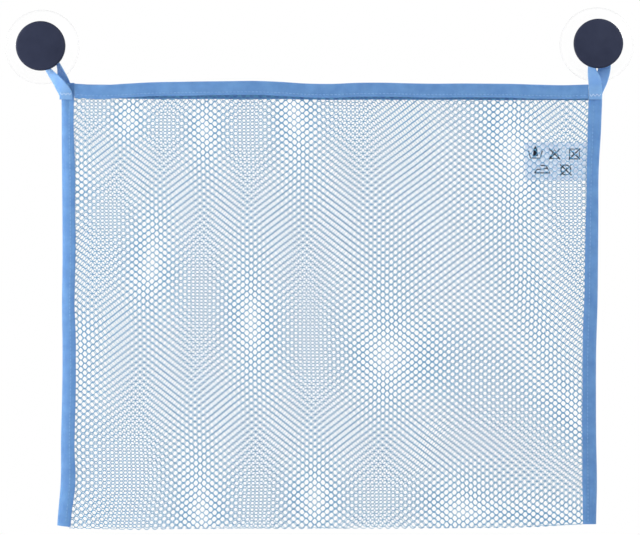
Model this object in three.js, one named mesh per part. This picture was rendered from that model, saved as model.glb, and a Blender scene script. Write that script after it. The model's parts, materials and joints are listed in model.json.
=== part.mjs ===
// A bath toy organizer: a flat net pouch with taped edges that hangs from two suction cups.
// Millimetres, +Z up. The wall is the plane Y = 0 and the pouch hangs in front of it, towards -Y.
// X = 0 is the middle of the pouch, and Z = 0 is the height at which the cups are pressed on.
import * as THREE from 'three';
import { mergeVertices } from 'three/addons/utils/BufferGeometryUtils.js';

// Pouch
const POUCH_WIDTH = 445.8; // over the folds of the side bindings
const POUCH_HEIGHT = 370; // top of the rim to the bottom fold
const RIM_DROP = 31.5; // cups' height down to the top of the rim
const POUCH_BULGE = 7; // how far the front net stands forward at the middle
// The side edges wander a little: outward shift at equal steps from the top down.
const LEFT_EDGE_WANDER = [0.4, 0, 0, 0.6, 3.4];
const RIGHT_EDGE_WANDER = [3.3, 0.4, -0.9, -1.6, -0.8];

// Tape, net and thread
const SIDE_TAPE_WIDTH = 10.8; // a side binding seen from the front
const RIM_TAPE_WIDTH = 13.6; // a rim binding seen from the front
const TAPE_THICKNESS = 0.4; // one leaf of binding tape
const NET_THICKNESS = 0.4;
const SEAM_ALLOWANCE = 7; // how far an edge reaches into its binding
const THREAD_WIDTH = 0.6;
const THREAD_THICKNESS = 0.3;
const STITCH_INSET = 4; // stitch row to the open edge of its binding
const CLEARANCE = 0.3; // gap between pieces that touch

// Net mesh
const NET_COLUMNS = 13; // staggered columns of cells
const NET_ROWS = 8; // cells in the outermost columns
const CELL_BAR = 11; // level strand that two cells above each other share
const STRAND_WIDTH = 4;

// Hanging loops
const LOOP_WIDTH = 10.8;
const LOOP_THICKNESS = 0.8; // tape folded double
const LOOP_HEM = 5; // sewn end below the bartack
const LOOP_BEND = 1; // the loop bends this far above the rim
const NOTCH_PLAY = 0.6; // room in a sewn end for the swinging part to turn
const LEG_FLAT = 0.15; // share of a leg that stays flat before it twists
const LEG_PULL = 0.4; // share of a leg that runs straight on from each end
const BARTACK_DROP = 9.2; // top of the rim down to the bartack
const BARTACK_TEETH = 5;
const BARTACK_HEIGHT = 2.4;
const LEFT_LOOP = { reach: 37, lean: -37.1 }; // bend to neck, and its lean from upright in degrees
const RIGHT_LOOP = { reach: 31.6, lean: 5.3 };

// Suction cups and caps
const CUP_DIAMETER = 62;
const CUP_DEPTH = 10; // lip to the foot of the neck
const CUP_HOLLOW = 6.5; // depth inside the cup
const CUP_FLARE = 1.15; // power of the curve from the neck out to the lip
const LIP_WIDTH = 3; // flat ring that meets the wall
const LIP_THICKNESS = 1.2;
const NECK_DIAMETER = 9;
const NECK_PLAY = 0.6; // room beside the loop at each end of the neck
const STUD_DIAMETER = 7.2;
const STUD_LENGTH = 2.5; // stud up to its mushroom head
const HEAD_DIAMETER = 10.4;
const HEAD_TIP_DIAMETER = 6;
const HEAD_LENGTH = 2.4;
const CAP_DIAMETER = 41.2;
const CAP_THICKNESS = 7;
const CAP_CROWN = 1.2; // dome on the cap's face
const CAP_EDGE = 1.8; // round on the cap's front edge
const CAP_CHAMFER = 0.6; // on its back edge

// Care label
const LABEL_WIDTH = 51; // the part that shows
const LABEL_HEIGHT = 32.5;
const LABEL_THICKNESS = 0.3;
const LABEL_DROP = 49.2; // top of the rim to the top of the label

// Fineness of the curved shapes
const SIDE_STEPS = 12;
const RIM_STEPS = 18;
const LEG_STEPS = 12;
const ARC_STEPS = 10; // half rounds of tape
const FOLD_STEPS = 8; // folds of net and tape
const TURN_STEPS = 24; // facets round a turned piece
const PROFILE_STEPS = 4; // each curve in a turned profile
const SAME_PLACE = 1e-4; // points closer than this are one point

// Places worked out from the sizes
const NECK_LENGTH = LOOP_WIDTH + 2 * NECK_PLAY;
const NECK_END = -(CUP_DEPTH + NECK_LENGTH);
const POUCH_Y = -(CUP_DEPTH + NECK_LENGTH / 2);
const RIM_TOP = -RIM_DROP;
const POUCH_BOTTOM = RIM_TOP - POUCH_HEIGHT;
const RIM_THICKNESS = 2 * TAPE_THICKNESS + 2 * CLEARANCE + NET_THICKNESS;
const NET_SPREAD = (RIM_THICKNESS + CLEARANCE) / 2; // each net from the pouch's middle plane
const FOLD_RADIUS = NET_SPREAD + NET_THICKNESS / 2;
const FOLD_Z = POUCH_BOTTOM + FOLD_RADIUS;
const NET_BOTTOM = FOLD_Z + 2 * CLEARANCE;
const NET_TOP = RIM_TOP - TAPE_THICKNESS - RIM_THICKNESS / 2;
const BINDING_THICKNESS = 2 * (FOLD_RADIUS + CLEARANCE + TAPE_THICKNESS);
const BARTACK_Z = RIM_TOP - BARTACK_DROP;
const BEND_Z = RIM_TOP + LOOP_BEND;
const LOOP_STANDOFF = BINDING_THICKNESS / 2 + CLEARANCE + LOOP_THICKNESS / 2;
const EYE_RADIUS = NECK_DIAMETER / 2 + CLEARANCE + LOOP_THICKNESS / 2;

const LEFT = -1;
const RIGHT = 1;
const FRONT = -1;
const BACK = 1;
const ALONG_X = new THREE.Vector3(1, 0, 0);
const ALONG_Y = new THREE.Vector3(0, 1, 0);
const ALONG_Z = new THREE.Vector3(0, 0, 1);
const { clamp, lerp, degToRad, smoothstep } = THREE.MathUtils;

function finish(color, roughness, more) {
  return new THREE.MeshStandardMaterial({ color, roughness, metalness: 0, ...more });
}

const tape = finish(0x6c9dd2, 0.75);
const loopTape = finish(0x85b1e5, 0.75);
const net = finish(0x9db9cb, 0.8);
const thread = finish(0x9fc3ec, 0.7);
const clearPlastic = finish(0xe6eef0, 0.1, { transparent: true, opacity: 0.3 });
const navyPlastic = finish(0x363b52, 0.55);
const labelFilm = finish(0xdfe8f2, 0.6);

function wanderCurve(shifts) {
  return new THREE.SplineCurve(shifts.map((shift, i) => new THREE.Vector2(i, shift)));
}

const edgeWander = {
  [LEFT]: wanderCurve(LEFT_EDGE_WANDER),
  [RIGHT]: wanderCurve(RIGHT_EDGE_WANDER),
};

// Outer edge of the pouch at a height, as a distance from the middle.
function edgeAt(side, z) {
  const down = clamp((RIM_TOP - z) / POUCH_HEIGHT, 0, 1);
  return POUCH_WIDTH / 2 + edgeWander[side].getPoint(down).y;
}

// Inner edge of a side binding at a height.
function seamAt(side, z) {
  return edgeAt(side, z) - SIDE_TAPE_WIDTH;
}

// Forward bulge of the front net: none at the side seams and the fold, full along the mouth.
function bulgeAt(x, z) {
  const across = clamp(x / seamAt(x < 0 ? LEFT : RIGHT, z), -1, 1);
  const up = clamp((z - FOLD_Z) / (RIM_TOP - FOLD_Z), 0, 1);
  return POUCH_BULGE * (1 - across ** 2) * (1 - (1 - up) ** 3);
}

// Depth of a net's middle at a place on its panel.
function netY(face, x, z) {
  return POUCH_Y + face * NET_SPREAD - (face === FRONT ? bulgeAt(x, z) : 0);
}

function closedGeometry(positions, index) {
  const geometry = new THREE.BufferGeometry();
  geometry.setAttribute('position', new THREE.Float32BufferAttribute(positions, 3));
  geometry.setIndex(index);
  geometry.computeVertexNormals();
  return geometry;
}

// Closed strip: one outline, counter-clockwise in (across, through), carried along a row of frames
// whose across and through turn right-handed about the way that the row runs.
function strip(outline, frames) {
  const ring = outline.length;
  const positions = [];
  const index = [];
  for (const { at, across, through } of frames) {
    for (const { x, y } of outline) {
      const point = at.clone().addScaledVector(across, x).addScaledVector(through, y);
      positions.push(point.x, point.y, point.z);
    }
  }
  for (let i = 0; i + 1 < frames.length; i++) {
    for (let j = 0; j < ring; j++) {
      const near = i * ring + j;
      const beside = i * ring + (j + 1) % ring;
      index.push(near, beside, beside + ring, near, beside + ring, near + ring);
    }
  }
  const last = (frames.length - 1) * ring;
  for (const [a, b, c] of THREE.ShapeUtils.triangulateShape(outline, [])) {
    index.push(a, c, b, last + a, last + b, last + c);
  }
  return closedGeometry(positions, index);
}

function flatOutline(width, thickness) {
  return [[-1, -1], [1, -1], [1, 1], [-1, 1]].map(
    ([x, y]) => new THREE.Vector2(x * width / 2, y * thickness / 2),
  );
}

const threadOutline = flatOutline(THREAD_WIDTH, THREAD_THICKNESS);

// Tape folded over an edge: a round nose at 0, two leaves reaching to width, a slot between them.
function foldedOutline(width, thickness, leaf) {
  const half = thickness / 2;
  const slot = half - leaf;
  const nose = rowOf(FOLD_STEPS, (along) => {
    const turn = Math.PI * (0.5 + along);
    return [half + half * Math.cos(turn), half * Math.sin(turn)];
  });
  return [
    ...nose, [width, -half], [width, -slot], [half, -slot], [half, slot], [width, slot], [width, half],
  ].map(([x, y]) => new THREE.Vector2(x, y));
}

// What make gives at equal steps from 0 to 1.
function rowOf(steps, make) {
  return Array.from({ length: steps + 1 }, (_, i) => make(i / steps));
}

// Frames down a side edge from one height to the bottom, moved inward and to the back.
function sideFrames(side, top, inward, backward) {
  return rowOf(SIDE_STEPS, (down) => {
    const z = lerp(top, POUCH_BOTTOM, down);
    return {
      at: new THREE.Vector3(side * (edgeAt(side, z) - inward), POUCH_Y + backward, z),
      across: ALONG_X.clone().multiplyScalar(-side),
      through: ALONG_Y.clone().multiplyScalar(side),
    };
  });
}

function sideBinding(side) {
  const outline = foldedOutline(SIDE_TAPE_WIDTH, BINDING_THICKNESS, TAPE_THICKNESS);
  return strip(outline, sideFrames(side, RIM_TOP, 0, 0));
}

// The stitch row starts below the sewn end of the loop.
function sideThread(side, face) {
  const top = BARTACK_Z - LOOP_HEM - CLEARANCE;
  const backward = face * (BINDING_THICKNESS / 2 + CLEARANCE + THREAD_THICKNESS / 2);
  return strip(threadOutline, sideFrames(side, top, SIDE_TAPE_WIDTH - STITCH_INSET, backward));
}

// End of a rim: clear of the side binding at the rim's top and at its lower edge.
function rimEnd(side) {
  const seams = [RIM_TOP, RIM_TOP - RIM_TAPE_WIDTH].map((z) => seamAt(side, z));
  return side * (Math.min(...seams) - CLEARANCE);
}

// Frames along a rim from the left seam to the right one, moved down and away from the pouch.
function rimFrames(face, drop, outward) {
  return rowOf(RIM_STEPS, (along) => {
    const x = lerp(rimEnd(LEFT), rimEnd(RIGHT), along);
    return {
      at: new THREE.Vector3(x, netY(face, x, RIM_TOP) + face * outward, RIM_TOP - drop),
      across: ALONG_Z.clone().negate(),
      through: ALONG_Y,
    };
  });
}

function rimBinding(face) {
  return strip(foldedOutline(RIM_TAPE_WIDTH, RIM_THICKNESS, TAPE_THICKNESS), rimFrames(face, 0, 0));
}

function rimThread(face) {
  const outward = RIM_THICKNESS / 2 + CLEARANCE + THREAD_THICKNESS / 2;
  return strip(threadOutline, rimFrames(face, RIM_TAPE_WIDTH - STITCH_INSET, outward));
}

// The half round in which the net turns from the back panel to the front one.
function bottomFold() {
  const arc = (radius) => rowOf(FOLD_STEPS, (along) => {
    const turn = Math.PI * (0.5 + along);
    return new THREE.Vector2(FOLD_RADIUS + radius * Math.cos(turn), radius * Math.sin(turn));
  });
  const outline = [...arc(FOLD_RADIUS), ...arc(FOLD_RADIUS - NET_THICKNESS).reverse()];
  const frames = [LEFT, RIGHT].map((side) => ({
    at: new THREE.Vector3(side * (seamAt(side, POUCH_BOTTOM) - CLEARANCE), POUCH_Y, POUCH_BOTTOM),
    across: ALONG_Z,
    through: ALONG_Y.clone().negate(),
  }));
  return strip(outline, frames);
}

// Moves the sides of a closed outline, counter-clockwise, inward by a distance.
function inset(outline, distance) {
  const inward = outline.map((from, i) => {
    const side = outline[(i + 1) % outline.length].clone().sub(from).normalize();
    return new THREE.Vector2(-side.y, side.x);
  });
  return outline.map((point, i) => {
    const before = inward[(i + outline.length - 1) % outline.length];
    const bisector = before.clone().add(inward[i]);
    return bisector.multiplyScalar(distance / (1 + before.dot(inward[i]))).add(point);
  });
}

// A rectangle of staggered six-sided cells, cut off straight at its edges.
class NetSheet {
  constructor(halfWidth, bottom, top) {
    this.low = new THREE.Vector2(-halfWidth, bottom);
    this.high = new THREE.Vector2(halfWidth, top);
    this.pitch = (2 * halfWidth + CELL_BAR) / ((NET_COLUMNS + 1) / 2);
    this.cellHeight = (top - bottom) / NET_ROWS;
    this.points = [];
    this.triangles = [];
    this.shared = new Map();
    for (const middle of this.cellMiddles()) this.addCell(middle);
  }

  // Every second column is half a cell higher, and has a half cell at each end.
  cellMiddles() {
    const outermost = (NET_COLUMNS + 1) / 2;
    const middles = [];
    for (let column = -outermost; column <= outermost; column++) {
      const cutOff = (column + outermost) % 2 === 0;
      const lowest = this.low.y + (cutOff ? 0 : this.cellHeight / 2);
      for (let row = 0; row < NET_ROWS + (cutOff ? 1 : 0); row++) {
        middles.push(new THREE.Vector2(column * this.pitch / 2, lowest + row * this.cellHeight));
      }
    }
    return middles;
  }

  // Corners of the cell about a middle, counter-clockwise, cut off at the sheet's edges. Corners that
  // the cut brings together, or into one line, are left out.
  cellCorners(middle) {
    const tip = (this.pitch - CELL_BAR) / 2;
    const bar = CELL_BAR / 2;
    const top = this.cellHeight / 2;
    const corners = [[tip, 0], [bar, top], [-bar, top], [-tip, 0], [-bar, -top], [bar, -top]].map(
      ([x, z]) => new THREE.Vector2(x, z).add(middle).clamp(this.low, this.high),
    );
    const apart = corners.filter((corner, i) => corner.distanceTo(corners.at(i - 1)) > CLEARANCE);
    return apart.filter((corner, i) => {
      const before = corner.clone().sub(apart.at(i - 1));
      const after = apart[(i + 1) % apart.length].clone().sub(corner);
      return before.cross(after) > CLEARANCE;
    });
  }

  addPoint({ x, y }) {
    return this.points.push([x, y]) - 1;
  }

  // Neighbouring cells share the points on the middle of their strands.
  sharedPoint(point) {
    const key = `${point.x.toFixed(2)} ${point.y.toFixed(2)}`;
    if (!this.shared.has(key)) this.shared.set(key, this.addPoint(point));
    return this.shared.get(key);
  }

  addCell(middle) {
    const corners = this.cellCorners(middle);
    const strand = corners.map((corner) => this.sharedPoint(corner));
    const gap = inset(corners, STRAND_WIDTH / 2).map((corner) => this.addPoint(corner));
    strand.forEach((here, i) => {
      const next = (i + 1) % strand.length;
      this.triangles.push([here, strand[next], gap[next]], [here, gap[next], gap[i]]);
    });
  }

  // Solid of one thickness, with each point placed by place(x, z, forward).
  solid(thickness, place) {
    const positions = [];
    for (const forward of [thickness / 2, -thickness / 2]) {
      for (const [x, z] of this.points) positions.push(...place(x, z, forward));
    }
    const behind = this.points.length;
    const open = new Map();
    const index = [];
    for (const [a, b, c] of this.triangles) {
      index.push(a, b, c, behind + a, behind + c, behind + b);
      for (const [p, q] of [[a, b], [b, c], [c, a]]) {
        if (!open.delete(`${q} ${p}`)) open.set(`${p} ${q}`, [p, q]);
      }
    }
    for (const [p, q] of open.values()) {
      index.push(behind + p, behind + q, q, behind + p, q, p);
    }
    return closedGeometry(positions, index);
  }
}

// A net panel. The back net reaches into the side bindings, and the front one, which swings, stops
// at them. Both reach up into their rim.
function netPanel(face) {
  const tuck = face === BACK ? SEAM_ALLOWANCE : -CLEARANCE;
  const halfWidth = POUCH_WIDTH / 2 - SIDE_TAPE_WIDTH + tuck;
  return new NetSheet(halfWidth, NET_BOTTOM, NET_TOP).solid(NET_THICKNESS, (x, z, forward) => {
    const wide = x * (seamAt(x < 0 ? LEFT : RIGHT, z) + tuck) / halfWidth;
    return [wide, netY(face, wide, z) - forward, z];
  });
}

// Middle of a loop's sewn end, on its side binding.
function loopX(side) {
  return side * (edgeAt(side, BARTACK_Z) - SIDE_TAPE_WIDTH / 2);
}

// Middle of the cup's neck, which the eye of the loop goes round.
function neckPlace(side, { reach, lean }) {
  const turn = degToRad(lean);
  return new THREE.Vector2(loopX(side) + reach * Math.sin(turn), BEND_Z + reach * Math.cos(turn));
}

// Sewn end of a loop: flat on the binding, with a round notch in which the swinging part turns.
function loopEnd(side, face) {
  const half = LOOP_WIDTH / 2;
  const notch = half + NOTCH_PLAY;
  const horn = Math.acos(half / notch);
  const outline = new THREE.Shape();
  outline.moveTo(-half, BARTACK_Z - LOOP_HEM);
  outline.lineTo(half, BARTACK_Z - LOOP_HEM);
  outline.absarc(0, BEND_Z, notch, -horn, horn - Math.PI, true);
  outline.closePath();
  const geometry = new THREE.ExtrudeGeometry(outline, {
    depth: LOOP_THICKNESS, bevelEnabled: false, curveSegments: ARC_STEPS,
  });
  geometry.rotateX(Math.PI / 2);
  geometry.translate(loopX(side), POUCH_Y + face * LOOP_STANDOFF + LOOP_THICKNESS / 2, 0);
  return geometry;
}

// One leg of the swinging part, from its round end at the bend up to the neck, as upward frames.
// The tape turns a quarter on the way, so that its width lies along the neck.
function legFrames(side, face, neck, lean) {
  const half = LOOP_WIDTH / 2;
  const y = POUCH_Y + face * LOOP_STANDOFF;
  const bend = new THREE.Vector3(loopX(side), y, BEND_Z);
  const up = new THREE.Vector3(Math.sin(lean), 0, Math.cos(lean));
  const beside = new THREE.Vector3(up.z, 0, -up.x).multiplyScalar(face * EYE_RADIUS);
  const end = new THREE.Vector3(neck.x, POUCH_Y, neck.y).add(beside);
  const pull = bend.distanceTo(end) * LEG_PULL;
  const path = new THREE.CubicBezierCurve3(
    bend,
    bend.clone().addScaledVector(ALONG_Z, pull),
    end.clone().addScaledVector(up, -pull),
    end,
  );
  const round = rowOf(ARC_STEPS / 2, (along) => {
    const turn = Math.PI / 2 * (1 - along);
    return {
      at: bend.clone().addScaledVector(ALONG_Z, -half * Math.sin(turn)),
      run: ALONG_Z,
      across: ALONG_X.clone().multiplyScalar(Math.cos(turn)),
    };
  });
  const tip = round.slice(1, -1);
  const free = rowOf(LEG_STEPS, (along) => {
    const run = path.getTangent(along);
    const twist = smoothstep(along, LEG_FLAT, 1) * Math.PI / 2;
    const flat = new THREE.Vector3(run.z, 0, -run.x).normalize();
    const across = flat.multiplyScalar(Math.cos(twist)).addScaledVector(ALONG_Y, -Math.sin(twist));
    across.addScaledVector(run, -across.dot(run)).normalize();
    return { at: path.getPoint(along), run, across };
  });
  return [...tip, ...free];
}

// Swinging part of a loop: up in front, over the neck and down behind.
function hangingLoop(side, { reach, lean }) {
  const neck = neckPlace(side, { reach, lean });
  const turn = degToRad(lean);
  const front = legFrames(side, FRONT, neck, turn);
  const back = legFrames(side, BACK, neck, turn).reverse();
  const over = rowOf(ARC_STEPS, (along) => {
    const angle = Math.PI * (1 - along) - turn;
    const out = new THREE.Vector3(Math.cos(angle), 0, Math.sin(angle));
    return {
      at: new THREE.Vector3(neck.x, POUCH_Y, neck.y).addScaledVector(out, EYE_RADIUS),
      run: new THREE.Vector3(out.z, 0, -out.x),
      across: ALONG_Y.clone().negate(),
    };
  });
  const rows = [
    ...front,
    ...over.slice(1, -1),
    ...back.map((row) => ({ ...row, run: row.run.clone().negate() })),
  ];
  const frames = rows.map(({ at, run, across }) => (
    { at, across, through: run.clone().cross(across).normalize() }
  ));
  return strip(flatOutline(LOOP_WIDTH, LOOP_THICKNESS), frames);
}

// Zigzag of thread across a sewn end.
function bartack(side, face) {
  const y = POUCH_Y + face * (LOOP_STANDOFF + LOOP_THICKNESS / 2 + CLEARANCE + THREAD_THICKNESS / 2);
  const half = LOOP_WIDTH / 2 - THREAD_WIDTH;
  const swing = (BARTACK_HEIGHT - THREAD_WIDTH) / 2;
  const frames = rowOf(2 * BARTACK_TEETH, (along) => {
    const z = BARTACK_Z + (Math.round(along * 2 * BARTACK_TEETH) % 2 === 0 ? swing : -swing);
    return {
      at: new THREE.Vector3(loopX(side) + lerp(-half, half, along), y, z),
      across: ALONG_Z.clone().negate(),
      through: ALONG_Y,
    };
  });
  return strip(threadOutline, frames);
}

// A piece turned about the Y axis from a profile of [radius, y] that starts on the axis at the wall's
// side and ends on it at the front. A lathe takes it from low Y to high Y.
function turned(profile) {
  const points = profile.map(([radius, y]) => new THREE.Vector2(radius, y)).reverse();
  return new THREE.LatheGeometry(points, TURN_STEPS);
}

// Clear cup with its hollow to the wall, a neck for the loop, and a stud that the cap is pressed on.
function suctionCup() {
  const lip = CUP_DIAMETER / 2;
  const hollow = lip - LIP_WIDTH;
  const neck = NECK_DIAMETER / 2;
  const headFoot = NECK_END - STUD_LENGTH;
  const inside = rowOf(PROFILE_STEPS, (out) => [hollow * out, -CUP_HOLLOW * (1 - out ** 2)]);
  const outside = rowOf(PROFILE_STEPS, (inward) => [
    lerp(lip, neck, inward),
    -LIP_THICKNESS - (CUP_DEPTH - LIP_THICKNESS) * inward ** CUP_FLARE,
  ]);
  return turned([
    ...inside,
    [lip, 0],
    ...outside,
    [neck, NECK_END],
    [STUD_DIAMETER / 2, NECK_END],
    [STUD_DIAMETER / 2, headFoot],
    [HEAD_DIAMETER / 2, headFoot],
    [HEAD_TIP_DIAMETER / 2, headFoot - HEAD_LENGTH],
    [0, headFoot - HEAD_LENGTH],
  ]);
}

// Cap: a crowned disc with a snap socket for the stud's head in its back.
function cap() {
  const rim = CAP_DIAMETER / 2;
  const back = NECK_END - CLEARANCE;
  const face = back - CAP_THICKNESS;
  const mouth = STUD_DIAMETER / 2 + CLEARANCE;
  const chamber = HEAD_DIAMETER / 2 + CLEARANCE;
  const chamberBack = NECK_END - STUD_LENGTH + CLEARANCE;
  const chamberFront = NECK_END - STUD_LENGTH - HEAD_LENGTH - CLEARANCE;
  const crown = rowOf(PROFILE_STEPS, (inward) => [
    (rim - CAP_EDGE) * (1 - inward),
    face - CAP_CROWN * (1 - (1 - inward) ** 2),
  ]);
  const edge = rowOf(PROFILE_STEPS, (along) => {
    const turn = along * Math.PI / 2;
    return [rim - CAP_EDGE + CAP_EDGE * Math.cos(turn), face + CAP_EDGE * (1 - Math.sin(turn))];
  });
  return turned([
    [0, chamberFront],
    [chamber, chamberFront],
    [chamber, chamberBack],
    [mouth, chamberBack],
    [mouth, back],
    [rim - CAP_CHAMFER, back],
    [rim, back - CAP_CHAMFER],
    ...edge,
    ...crown.slice(1),
  ]);
}

// Pale tab sewn into the right side seam, just in front of the back net.
function careLabel() {
  const z = RIM_TOP - LABEL_DROP - LABEL_HEIGHT / 2;
  const width = LABEL_WIDTH + SEAM_ALLOWANCE;
  const geometry = new THREE.BoxGeometry(width, LABEL_THICKNESS, LABEL_HEIGHT);
  const backward = NET_SPREAD - NET_THICKNESS / 2 - CLEARANCE - LABEL_THICKNESS / 2;
  return geometry.translate(seamAt(RIGHT, z) + SEAM_ALLOWANCE - width / 2, POUCH_Y + backward, z);
}

// Only positions matter to these solids, so points in the same place are shared.
function piece(name, geometry, material) {
  geometry.deleteAttribute('normal');
  geometry.deleteAttribute('uv');
  const merged = mergeVertices(geometry, SAME_PLACE);
  merged.computeVertexNormals();
  const mesh = new THREE.Mesh(merged, material);
  mesh.name = name;
  return mesh;
}

function corner(name, side, loop) {
  const pieces = new THREE.Group();
  pieces.add(
    piece(`${name}_side_binding`, sideBinding(side), tape),
    piece(`${name}_side_needle_thread`, sideThread(side, FRONT), thread),
    piece(`${name}_side_bobbin_thread`, sideThread(side, BACK), thread),
    piece(`${name}_loop_front_end`, loopEnd(side, FRONT), loopTape),
    piece(`${name}_loop_back_end`, loopEnd(side, BACK), loopTape),
    piece(`${name}_loop_needle_thread`, bartack(side, FRONT), thread),
    piece(`${name}_loop_bobbin_thread`, bartack(side, BACK), thread),
    piece(`${name}_hanging_loop`, hangingLoop(side, loop), loopTape),
  );
  const cup = new THREE.Group();
  const neck = neckPlace(side, loop);
  cup.position.set(neck.x, 0, neck.y);
  cup.add(
    piece(`${name}_suction_cup`, suctionCup(), clearPlastic),
    piece(`${name}_cap`, cap(), navyPlastic),
  );
  pieces.add(cup);
  return pieces;
}

const organizer = new THREE.Group();
organizer.name = 'bath_toy_organizer';
organizer.add(
  piece('back_net', netPanel(BACK), net),
  piece('front_net', netPanel(FRONT), net),
  piece('bottom_fold', bottomFold(), net),
  piece('back_rim_binding', rimBinding(BACK), tape),
  piece('front_rim_binding', rimBinding(FRONT), tape),
  piece('back_rim_thread', rimThread(BACK), thread),
  piece('front_rim_thread', rimThread(FRONT), thread),
  piece('care_label', careLabel(), labelFilm),
  corner('left', LEFT, LEFT_LOOP),
  corner('right', RIGHT, RIGHT_LOOP),
);

export default organizer;
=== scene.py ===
"""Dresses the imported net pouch: knitted net, woven tape, stitching, clear cups and navy caps.

Sizes are in millimetres and meshes in metres. X runs along the rim, Y into the wall, Z up.
"""

import json
import logging
import math
from collections.abc import Iterable
from dataclasses import dataclass
from enum import Enum

import bpy
import numpy as np
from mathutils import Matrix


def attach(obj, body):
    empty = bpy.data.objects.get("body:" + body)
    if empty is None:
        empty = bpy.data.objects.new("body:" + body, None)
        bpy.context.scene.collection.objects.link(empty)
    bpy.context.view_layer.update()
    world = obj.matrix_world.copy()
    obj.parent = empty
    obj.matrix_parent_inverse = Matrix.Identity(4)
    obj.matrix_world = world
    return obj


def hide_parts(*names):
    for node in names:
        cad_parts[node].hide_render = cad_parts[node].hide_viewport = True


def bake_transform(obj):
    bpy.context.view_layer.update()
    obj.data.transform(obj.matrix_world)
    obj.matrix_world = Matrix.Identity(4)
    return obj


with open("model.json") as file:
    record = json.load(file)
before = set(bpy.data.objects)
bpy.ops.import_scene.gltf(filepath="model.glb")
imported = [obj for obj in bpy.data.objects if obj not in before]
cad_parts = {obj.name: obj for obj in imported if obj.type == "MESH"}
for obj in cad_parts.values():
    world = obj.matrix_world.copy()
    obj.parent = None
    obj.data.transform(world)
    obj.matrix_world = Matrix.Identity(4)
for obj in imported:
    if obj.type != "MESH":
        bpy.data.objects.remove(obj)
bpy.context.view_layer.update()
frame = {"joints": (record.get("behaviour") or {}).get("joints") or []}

log = logging.getLogger("organizer")

MM = 0.001
TINY = 1e-6
FULL_TURN = 2 * math.pi
# Distance between the ribs of a wave texture whose scale is 1.
RIB_SPACING = FULL_TURN / 20
ALONG_X = np.array([1.0, 0.0, 0.0])
ALONG_Y = np.array([0.0, 1.0, 0.0])
ALONG_Z = np.array([0.0, 0.0, 1.0])

Row = tuple[float, ...]
Profile = list[tuple[float, float]]
Shade = tuple[int, int, int]
Socket = bpy.types.NodeSocket
Station = tuple[float, float, float, float]


class Named(Enum):
    """A choice whose value is its sign along an axis."""

    @property
    def word(self) -> str:
        """The choice's name as it stands in piece names."""
        return self.name.lower()


class Side(Named):
    """A side of the pouch, with its sign along X."""

    LEFT = -1
    RIGHT = 1


class Face(Named):
    """A face of the pouch, with its sign along Y."""

    FRONT = -1
    BACK = 1


def smooth_step(value: np.ndarray) -> np.ndarray:
    """Eases from 0 to 1 as the value goes from 0 to 1."""
    t = np.clip(value, 0.0, 1.0)
    return t * t * (3.0 - 2.0 * t)


def smooth_row(values: Row | np.ndarray, along: np.ndarray) -> np.ndarray:
    """Passes a smooth curve through evenly spaced values.

    Args:
        values: Numbers or points, one for each step of the row.
        along: Places on the row from 0 to 1; of one dimension where the values are points.

    Returns:
        The curve's value at each place.
    """
    values = np.asarray(values, dtype=float)
    last = len(values) - 1
    spot = np.clip(along, 0.0, 1.0) * last
    step = np.minimum(spot.astype(int), last - 1)
    t = spot - step
    if values.ndim > 1:
        t = t[:, None]
    before = values[np.maximum(step - 1, 0)]
    here = values[step]
    after = values[step + 1]
    beyond = values[np.minimum(step + 2, last)]
    pull_in = (after - before) / 2
    pull_out = (beyond - here) / 2
    cubic = 2 * here - 2 * after + pull_in + pull_out
    square = 3 * after - 3 * here - 2 * pull_in - pull_out
    return cubic * t**3 + square * t**2 + pull_in * t + here


def unit(vectors: np.ndarray) -> np.ndarray:
    """Gives vectors of length 1 in the same directions."""
    return vectors / np.linalg.norm(vectors, axis=-1, keepdims=True)


@dataclass(frozen=True)
class Wander:
    """A small smooth wandering along a line, the same on every run.

    It is a sum of waves, each shorter and weaker than the one before.
    """

    seed: int
    amplitude: float
    longest: float
    waves: int = 5
    shortening: float = 1.7
    fading: float = 0.62
    divisor: float = 1.6

    def at(self, along: np.ndarray) -> np.ndarray:
        """Gives the wandering at places along the line.

        Args:
            along: The places.

        Returns:
            The wandering at each place.
        """
        draw = np.random.default_rng(self.seed)
        total = np.zeros_like(along, dtype=float)
        for step in range(self.waves):
            length = self.longest / self.shortening**step
            total += self.fading**step * np.sin(FULL_TURN * along / length + draw.uniform(0, FULL_TURN))
        return self.amplitude * total / self.divisor


def tube_faces(rings: int, sides: int) -> tuple[np.ndarray, np.ndarray]:
    """Faces of a closed tube, whose points go round it ring by ring.

    Args:
        rings: Rings along the tube.
        sides: Points in a ring.

    Returns:
        The four-sided walls and the two end caps.
    """
    start = np.arange(rings - 1)[:, None] * sides
    near = (start + np.arange(sides)).ravel()
    beside = (start + (np.arange(sides) + 1) % sides).ravel()
    walls = np.stack([near, beside, beside + sides, near + sides], axis=1)
    caps = np.stack([np.arange(sides)[::-1], (rings - 1) * sides + np.arange(sides)])
    return walls, caps


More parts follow.
